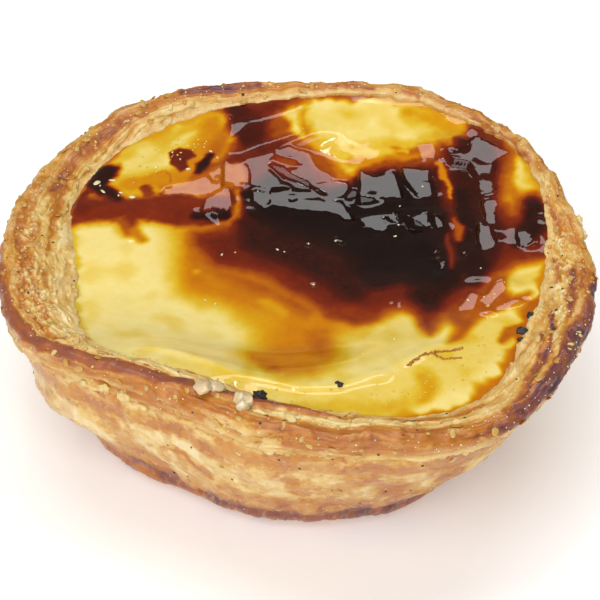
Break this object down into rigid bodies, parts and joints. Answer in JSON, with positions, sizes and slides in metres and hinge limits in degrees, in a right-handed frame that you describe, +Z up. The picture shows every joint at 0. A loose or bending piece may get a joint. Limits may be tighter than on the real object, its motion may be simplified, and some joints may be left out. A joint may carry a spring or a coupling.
{
  "type": "portuguese custard tart",
  "caption": "Round puff pastry tart with a hand-pressed uneven rim and a sunken custard filling, baked dark in patches.",
  "frame": {"origin": "at the level of the flat underside, under the middle of the rim's footprint", "axes": "+Z up; the front of the tart, where the pastry wall shows lowest, faces -Y; +X to its right"},
  "size_m": [0.0774, 0.0784, 0.0282],
  "materials": {
    "pastry": "matt, flaky, golden to dark brown",
    "custard": "glossy, pale yellow to near-black caramel"
  },
  "bodies": {
    "root": {"pastry_shell": "pastry", "custard_filling": "custard"}
  },
  "joints": []
}
